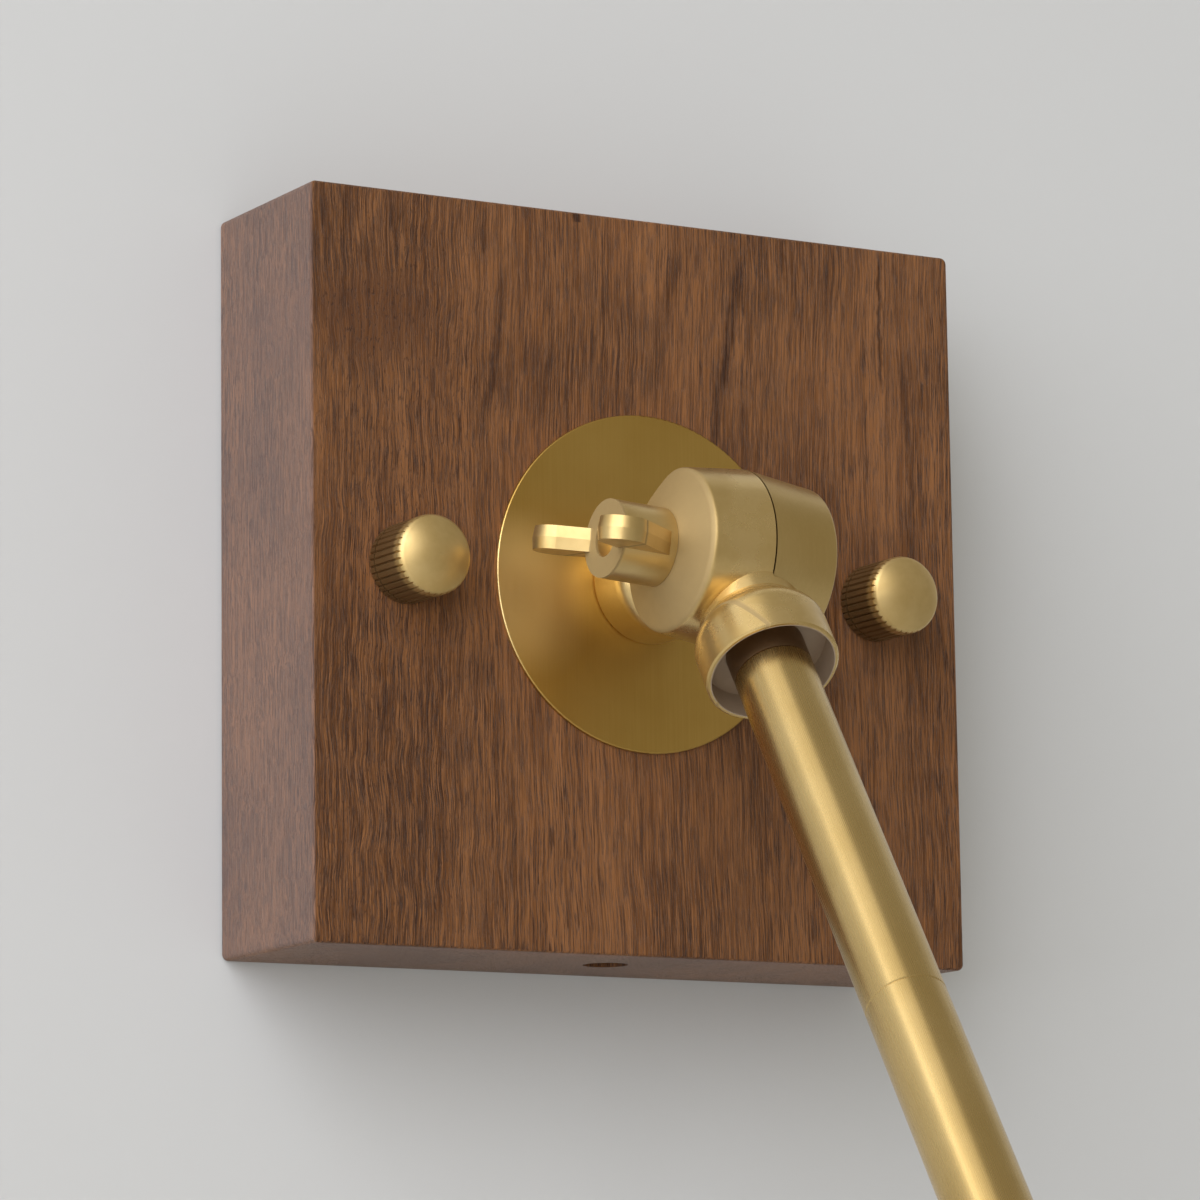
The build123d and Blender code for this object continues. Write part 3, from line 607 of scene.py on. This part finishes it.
def plain_material(name, colour, roughness, metallic=0.0, mottle=0.15, scale=400.0):
    """A simple moulded, plated or printed finish with fine variation."""
    material, tree, shader, place = new_material(name, metallic)
    grain = tree.noise(place, scale=scale, detail=4, roughness=0.6)
    tone = tree.mix(tree.span(grain, 0.3, 0.7), colour[:], dimmed(colour, 1 - mottle))
    tree.join(tone, shader.inputs["Base Color"])
    tree.join(tree.span(grain, 0.3, 0.7, roughness - 0.04, roughness + 0.06), shader.inputs["Roughness"])
    bump(tree, shader, grain, 0.02 * MM)
    return material


def glass_material():
    """Clear bulb glass, faintly warm."""
    material, tree, shader, place = new_material("bulb_glass_clear", roughness=0.02)
    film = tree.noise(place, scale=90)
    tree.join(tree.mix(film, (1, 0.99, 0.97, 1), (0.96, 0.95, 0.92, 1)), shader.inputs["Base Color"])
    shader.inputs["Transmission Weight"].default_value = 1.0
    shader.inputs["IOR"].default_value = 1.45
    return material


def one_sided_material(name, colour):
    """A matt backdrop that is clear from behind."""
    material, tree, shader, place = new_material(name, roughness=0.9)
    tree.join(tree.mix(tree.noise(place, scale=2.2, detail=3), colour[:], dimmed(colour, 0.985)),
              shader.inputs["Base Color"])
    behind = tree.add("ShaderNodeNewGeometry").outputs["Backfacing"]
    clear = tree.add("ShaderNodeBsdfTransparent")
    both = tree.add("ShaderNodeMixShader")
    tree.join(behind, both.inputs["Fac"])
    tree.join(shader.outputs["BSDF"], both.inputs[1])
    tree.join(clear.outputs["BSDF"], both.inputs[2])
    tree.join(both.outputs["Shader"], material.node_tree.nodes["Material Output"].inputs["Surface"])
    return material


def dress(material, *names):
    """Give pieces of the frame one finish."""
    for name in names:
        if name not in frame["nodes"]:
            raise RuntimeError(f"the frame has no piece named {name}")
        mesh = frame["nodes"][name].data
        mesh.materials.clear()
        mesh.materials.append(material)


# ---- operators, one for each group of like pieces --------------------------------------------

class LAMP_OT_block(bpy.types.Operator):
    """Dress the mounting block in oiled walnut"""
    bl_idname = "lamp.block"
    bl_label = "Mounting block"

    def execute(self, context):
        dress(walnut_material(context.scene.lamp_wood), "mounting_block")
        return {"FINISHED"}


class LAMP_OT_thumb_nuts(bpy.types.Operator):
    """Dress the thumb nuts in cast brass, their knurled skirts painted dark for the walnut they reflect"""
    bl_idname = "lamp.thumb_nuts"
    bl_label = "Thumb nuts"

    def execute(self, context):
        finish = cast_brass(context.scene.lamp_brass, "nut_brass", roughness=0.39, skirt=NUT_SKIRT)
        dress(finish, "thumb_nut_left", "thumb_nut_right")
        return {"FINISHED"}


class LAMP_OT_rosette(bpy.types.Operator):
    """Dress the rosette in upright brushed brass, tinted for a painted reflection of the room, with a painted
    bright patch
    """
    bl_idname = "lamp.rosette"
    bl_label = "Rosette"

    def execute(self, context):
        # Painted reflection: the tint makes the rosette's brass darker and warmer for the dim, warm room it
        # mirrors.
        finish = brushed_brass(context.scene.lamp_brass, "disc_brass", Vector((0, 0, 1)), roughness=0.36,
                               tint=(0.90, 0.80, 0.52), glow=GLOW_PLACE)
        dress(finish, "rosette")
        return {"FINISHED"}


class LAMP_OT_knuckles(bpy.types.Operator):
    """Dress the halves of both knuckles, and the fibre rings between them"""
    bl_idname = "lamp.knuckles"
    bl_label = "Knuckles"

    def execute(self, context):
        brass = context.scene.lamp_brass
        dress(brushed_brass(brass, "base_casting", Vector((0, 0, 1)), roughness=0.32), "base_knuckle")
        for piece, name, pivot, way in (
                ("arm_knuckle", "arm_casting", BASE_PIVOT, ARM_WAY),
                ("head_knuckle", "head_casting", HEAD_PIVOT, -UPRIGHT)):
            finish = cast_brass(brass, name, roughness=0.27, cup=(pivot, way),
                                end=(pivot, -TILT_AXIS, *DRUM_END))
            dress(finish, piece)
        dress(cast_brass(brass, "end_casting", roughness=0.27, cup=(HEAD_PIVOT, -ARM_WAY)), "arm_end_knuckle")
        dress(plain_material("red_fibre", context.scene.lamp_small.fibre, 0.8, mottle=0.3, scale=900),
              "base_friction_washer", "head_friction_washer")
        return {"FINISHED"}


class LAMP_OT_wing_screws(bpy.types.Operator):
    """Dress the wing screws in cast brass with sanded ends"""
    bl_idname = "lamp.wing_screws"
    bl_label = "Wing screws"

    def execute(self, context):
        finish = cast_brass(context.scene.lamp_brass, "screw_brass", roughness=0.34,
                            end=(BASE_PIVOT, -TILT_AXIS, *SCREW_END))
        dress(finish, "base_wing_screw", "head_wing_screw")
        return {"FINISHED"}


class LAMP_OT_arm(bpy.types.Operator):
    """Dress the arm's tubes in brushed brass and its ferrules in dark bronze"""
    bl_idname = "lamp.arm"
    bl_label = "Arm"

    def execute(self, context):
        finish = brushed_brass(context.scene.lamp_brass, "tube_brass", ARM_WAY, roughness=0.25,
                               relief=0.0002 * MM)
        dress(finish, "arm_tube_short", "arm_tube_long")
        dress(plain_material("aged_bronze", context.scene.lamp_small.bronze, 0.45, metallic=1.0),
              "arm_ferrules")
        return {"FINISHED"}


class LAMP_OT_head(bpy.types.Operator):
    """Dress the shade, its ring, the cup over the lampholder and the spacer"""
    bl_idname = "lamp.head"
    bl_label = "Head"

    def execute(self, context):
        brass = context.scene.lamp_brass
        finish = brushed_brass(brass, "spun_brass", UPRIGHT, brass.roughness)
        dress(finish, "head_spacer", "socket_cup", "shade")
        dress(plain_material("black_phenolic", context.scene.lamp_small.phenolic, 0.35),
              "lampholder_body", "shade_ring")
        return {"FINISHED"}


class LAMP_OT_bulb(bpy.types.Operator):
    """Dress the bulb's cap, glass and filaments"""
    bl_idname = "lamp.bulb"
    bl_label = "Bulb"

    def execute(self, context):
        small = context.scene.lamp_small
        dress(plain_material("nickel_cap", small.nickel, 0.3, metallic=1.0), "bulb_cap")
        dress(glass_material(), "bulb_glass")
        dress(plain_material("filament_coat", small.filament, 0.6), "bulb_filaments")
        return {"FINISHED"}


class LAMP_OT_fixings(bpy.types.Operator):
    """Dress the bracket, studs, nipples and nuts in zinc-plated steel"""
    bl_idname = "lamp.fixings"
    bl_label = "Fixings"

    def execute(self, context):
        dress(plain_material("zinc_steel", context.scene.lamp_small.steel, 0.35, metallic=1.0),
              "wall_bracket", "mounting_studs", "earth_screw", "threaded_nipple", "nipple_washer",
              "nipple_nut", "rosette_nut", "arm_nipples", "tube_coupler", "head_nipple", "holder_nut")
        return {"FINISHED"}


class LAMP_OT_wiring(bpy.types.Operator):
    """Dress the wires, the terminal block and the contacts"""
    bl_idname = "lamp.wiring"
    bl_label = "Wiring"

    def execute(self, context):
        small = context.scene.lamp_small
        dress(plain_material("white_nylon", small.nylon, 0.45), "terminal_block")
        dress(plain_material("contact_brass", small.contact, 0.25, metallic=1.0),
              "terminal_inserts", "lampholder_shell", "centre_contact")
        dress(plain_material("brown_insulation", small.brown, 0.5),
              "base_wire_live", "arm_wire_live", "head_wire_live")
        dress(plain_material("blue_insulation", small.blue, 0.5),
              "base_wire_neutral", "arm_wire_neutral", "head_wire_neutral")
        return {"FINISHED"}


# ---- stage ---------------------------------------------------------------------------------

# Where the photograph's camera stands, and which way it looks.
CAMERA_PLACE = Vector((-393.8, -687.9, -130.1)) * MM
CAMERA_AZIMUTH = radians(30.369)
CAMERA_ELEVATION = radians(9.456)
CAMERA_ROLL = radians(-0.775)
# The backdrop, in metres: its half width, the floor's height, the wall's top and the floor's front edge.
ROOM_HALF = 2.0
FLOOR_LEVEL = -0.62
WALL_TOP = 1.6
FLOOR_FRONT = -3.0
# The wall stands a hair behind the lamp, with an opening that lets light into the block's open back.
WALL_BACK = 0.5 * MM
OPENING_HALF = 53 * MM


def camera_rotation():
    """The photograph's viewing direction as a rotation: azimuth from +Y towards +X, elevation and roll."""
    level_look = Vector((sin(CAMERA_AZIMUTH), cos(CAMERA_AZIMUTH), 0))
    look = level_look * cos(CAMERA_ELEVATION) + Vector((0, 0, sin(CAMERA_ELEVATION)))
    level = Vector((cos(CAMERA_AZIMUTH), -sin(CAMERA_AZIMUTH), 0))
    right = Matrix.Rotation(-CAMERA_ROLL, 3, look) @ level
    up = right.cross(look)
    return Matrix((right, up, -look)).transposed().to_quaternion()


def set_camera(settings):
    """The camera at the photograph's place."""
    data = bpy.data.cameras.new("photograph")
    data.lens = settings.focal
    data.sensor_width = 36
    data.clip_start = 0.05
    camera = bpy.data.objects.new("photograph", data)
    camera.location = CAMERA_PLACE
    camera.rotation_mode = "QUATERNION"
    camera.rotation_quaternion = camera_rotation()
    bpy.context.scene.collection.objects.link(camera)
    bpy.context.scene.camera = camera


def rectangle(half, low, high, depth):
    """The corners of an upright rectangle that faces the front."""
    return [(-half, depth, low), (half, depth, low), (half, depth, high), (-half, depth, high)]


def add_sheet(name, corners, material, hole=()):
    """A flat four-cornered backdrop, with or without a four-cornered hole."""
    if hole:
        faces = [(side, (side + 1) % 4, 4 + (side + 1) % 4, 4 + side) for side in range(4)]
    else:
        faces = [(0, 1, 2, 3)]
    mesh = bpy.data.meshes.new(name)
    mesh.from_pydata([*corners, *hole], [], faces)
    mesh.materials.append(material)
    made = bpy.data.objects.new(name, mesh)
    bpy.context.scene.collection.objects.link(made)


def add_light(name, place, aim, size, power, colour=(1, 1, 1)):
    """A soft square light at a place, turned towards a point."""
    light = bpy.data.lights.new(name, "AREA")
    light.size = size
    light.energy = power
    light.color = colour
    holder = bpy.data.objects.new(name, light)
    holder.location = place
    holder.rotation_euler = (Vector(aim) - Vector(place)).to_track_quat("-Z", "Y").to_euler()
    bpy.context.scene.collection.objects.link(holder)


class LAMP_OT_stage(bpy.types.Operator):
    """Set up the camera, the wall, the floor and the lights"""
    bl_idname = "lamp.stage"
    bl_label = "Stage"

    def execute(self, context):
        settings = context.scene.lamp_stage
        set_camera(settings)
        add_sheet("wall", rectangle(ROOM_HALF, FLOOR_LEVEL, WALL_TOP, WALL_BACK),
                  one_sided_material("plain_wall", settings.wall),
                  hole=rectangle(OPENING_HALF, -OPENING_HALF, OPENING_HALF, WALL_BACK))
        floor = [(side * ROOM_HALF, depth, FLOOR_LEVEL)
                 for side, depth in ((-1, FLOOR_FRONT), (1, FLOOR_FRONT), (1, WALL_BACK), (-1, WALL_BACK))]
        add_sheet("floor", floor, one_sided_material("plain_floor", settings.floor))
        add_light("window", place=(-2.12, -1.22, 0.90), aim=(0, 0, 0), size=3.0, power=settings.key,
                  colour=(0.985, 1, 1.05))
        add_light("fill", place=(-1.30, -2.40, 1.20), aim=(0, 0, -0.1), size=2.2, power=settings.fill)
        add_light("ceiling", place=(-0.72, -0.24, 1.20), aim=(0, -0.08, -0.06), size=1.0,
                  power=settings.ceiling, colour=(1, 0.98, 0.92))
        world = bpy.data.worlds.new("room")
        world.use_nodes = True
        background = world.node_tree.nodes["Background"]
        background.inputs["Color"].default_value = (1, 0.93, 0.76, 1)
        background.inputs["Strength"].default_value = settings.world
        context.scene.world = world
        context.scene.view_settings.view_transform = "Standard"
        return {"FINISHED"}


class LAMP_PT_panel(bpy.types.Panel):
    """The lamp's settings and steps"""
    bl_idname = "LAMP_PT_panel"
    bl_label = "Wall lamp"
    bl_space_type = "VIEW_3D"
    bl_region_type = "UI"
    bl_category = "Wall lamp"

    def draw(self, context):
        for group_name in SETTINGS:
            settings = getattr(context.scene, group_name)
            for name in settings.__annotations__:
                self.layout.prop(settings, name)
        for operator in OPERATORS:
            self.layout.operator(operator.bl_idname)


SETTINGS = {
    "lamp_wood": WoodSettings,
    "lamp_brass": BrassSettings,
    "lamp_small": SmallPartSettings,
    "lamp_stage": StageSettings,
}
OPERATORS = (
    LAMP_OT_stage, LAMP_OT_block, LAMP_OT_thumb_nuts, LAMP_OT_rosette, LAMP_OT_knuckles, LAMP_OT_wing_screws,
    LAMP_OT_arm, LAMP_OT_head, LAMP_OT_bulb, LAMP_OT_fixings, LAMP_OT_wiring)
CLASSES = (*SETTINGS.values(), *OPERATORS, LAMP_PT_panel)


def register():
    """Register the classes and hang the settings on the scene."""
    for each in CLASSES:
        bpy.utils.register_class(each)
    for name, group in SETTINGS.items():
        setattr(bpy.types.Scene, name, bpy.props.PointerProperty(type=group))


def unregister():
    """Take the settings and the classes away again."""
    for name in SETTINGS:
        delattr(bpy.types.Scene, name)
    for each in reversed(CLASSES):
        bpy.utils.unregister_class(each)


def main():
    """Make the whole lamp."""
    register()
    bpy.ops.lamp.stage()
    bpy.ops.lamp.block()
    bpy.ops.lamp.thumb_nuts()
    bpy.ops.lamp.rosette()
    bpy.ops.lamp.knuckles()
    bpy.ops.lamp.wing_screws()
    bpy.ops.lamp.arm()
    bpy.ops.lamp.head()
    bpy.ops.lamp.bulb()
    bpy.ops.lamp.fixings()
    bpy.ops.lamp.wiring()


if __name__ == "__main__":
    main()
